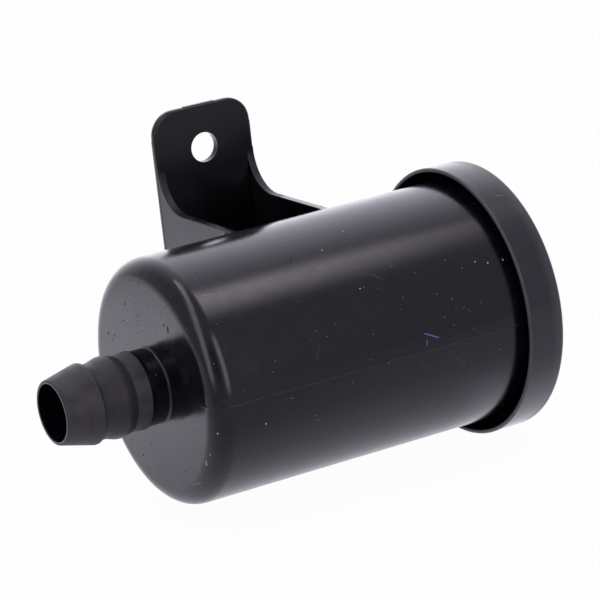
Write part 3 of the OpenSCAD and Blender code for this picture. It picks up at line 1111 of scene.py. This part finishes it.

# %% [markdown]
# The cap came from another mould and is a little greyer. Handling has dulled its lip, which is rougher and
# lighter there. The last millimetres before its back are rougher too and carry a painted sheen, the lighter
# band that its rounded back edge would mirror from the bright room. Under the skirt it is rougher, with
# little
# gloss, and painted dark: a painted shade in the gap round the cup. It has one short scratch.

# %% Wear on the cap
skirt_length = 9.0
cap_back_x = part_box("vent_cap")[1].x / MM
skirt_lip_x = cap_back_x - skirt_length
lip_fade = (skirt_lip_x + 0.7, skirt_lip_x + 0.2)
rear_sheen_fade = (cap_back_x - 3.6, cap_back_x - 0.6)
rear_sheen_share = 0.75
cap_edge_wear_and_painted_sheen = (0.048, 0.047, 0.052)
cap_edge_roughness = 0.4
inside_radius_fade = (29.0, 28.8)
inside_back_fade = (cap_back_x, cap_back_x - 0.5)
cap_inside_painted_shade = (0.003, 0.003, 0.003)
cap_inside_roughness = 0.6
cap_inside_gloss = 0.05
cap_scratch = ((40.8, -53.6, -12.1), (42.3, -53.8, -12.2))
cap_scratch_half_width = 0.16
cap_scratch_roughness = 0.6


def cap_wear(tree, place, look):
    """A rubbed lip, a painted sheen towards the back, a painted shade inside the skirt and one scratch."""
    at = on_canister(tree, place)
    # Towards the back the lighter band is a painted sheen; at the lip it is rubbing.
    rear = ramp(tree, at["x"], *rear_sheen_fade, 0.0, rear_sheen_share)
    edge = calc(tree, "MAXIMUM", ramp(tree, at["x"], *lip_fade), rear)
    look = worn(tree, edge, look, dye=cap_edge_wear_and_painted_sheen, rough=cap_edge_roughness)
    # Painted shade: the inside of the skirt is darkened where it lies in the gap round the cup.
    inside = ramp(tree, at["radius"], *inside_radius_fade)
    inside = calc(tree, "MULTIPLY", inside, ramp(tree, at["x"], *inside_back_fade))
    look = worn(tree, inside, look, cap_inside_painted_shade, cap_inside_roughness, cap_inside_gloss)
    first, last = [snapped(nodes["vent_cap"], end) for end in cap_scratch]
    mark = streak(tree, place, first, last, cap_scratch_half_width)
    return worn(tree, mark, look, dye=haze, rough=cap_scratch_roughness)


cap_plastic = finish_plastic("cap_plastic", (0.016, 0.0165, 0.021), 0.2, 0.006, 0.3, cap_wear)
dress("vent_cap", cap_plastic)

# %% [markdown]
# ## The filling
#
# Nobody sees the filling until the cap is off, but each piece still gets its own finish: grey needled
# felt for the two filter pads, black granules for the carbon and drawn steel wire for the spring that keeps
# the bed pressed together. The retainer plate has its plain plastic already.

# %% Filling finishes
felt_tones = ((0.32, 0.3, 0.27), (0.62, 0.6, 0.55))
granule_tones = ((0.006, 0.006, 0.006), (0.022, 0.021, 0.02))
wire_tones = ((0.36, 0.36, 0.38), (0.5, 0.5, 0.51))


def finish_felt(name):
    """Needled felt: matted fibres, pale and rough."""
    made, tree, place = start_material(name)
    fibre = noise(tree, place, 5.0, 6.0, 0.7)
    blotch = noise(tree, place, 0.3, 2.0)
    tone = calc(tree, "ADD", calc(tree, "MULTIPLY", fibre, 0.7), calc(tree, "MULTIPLY", blotch, 0.3))
    bump = add(tree, "Bump", {"Height": fibre, "Strength": 1.0, "Distance": 0.3 * MM})
    standard_surface(tree, {
        "Base Color": tint(tree, tone, *felt_tones), "Roughness": ramp(tree, fibre, 0.0, 1.0, 0.85, 0.98),
        "Normal": bump.outputs[0], "Sheen Weight": 0.3,
    })
    return made


def finish_carbon(name):
    """Packed carbon granules about a millimetre across."""
    made, tree, place = start_material(name)
    cells = add(tree, "TexVoronoi", {"Vector": place, "Scale": 0.9})
    pick = add(tree, "SeparateColor", {0: cells.outputs["Color"]}).outputs[0]
    dome = ramp(tree, cells.outputs["Distance"], 0.7, 0.0)
    bump = add(tree, "Bump", {"Height": dome, "Strength": 1.0, "Distance": 0.5 * MM})
    standard_surface(tree, {
        "Base Color": tint(tree, pick, *granule_tones), "Roughness": ramp(tree, pick, 0.0, 1.0, 0.45, 0.8),
        "Normal": bump.outputs[0],
    })
    return made


def finish_wire(name):
    """Drawn spring steel: grey metal with fine die marks."""
    made, tree, place = start_material(name)
    marks = noise(tree, place, 3.0, 4.0)
    bump = add(tree, "Bump", {"Height": marks, "Strength": 0.3, "Distance": 0.02 * MM})
    standard_surface(tree, {
        "Base Color": tint(tree, marks, *wire_tones), "Roughness": ramp(tree, marks, 0.2, 0.8, 0.24, 0.42),
        "Normal": bump.outputs[0], "Metallic": 1.0,
    })
    return made


felt = finish_felt("filter_felt")
dress("port_filter_pad", felt)
dress("vent_filter_pad", felt)
dress("carbon_bed", finish_carbon("activated_carbon"))
dress("pressure_spring", finish_wire("spring_steel"))
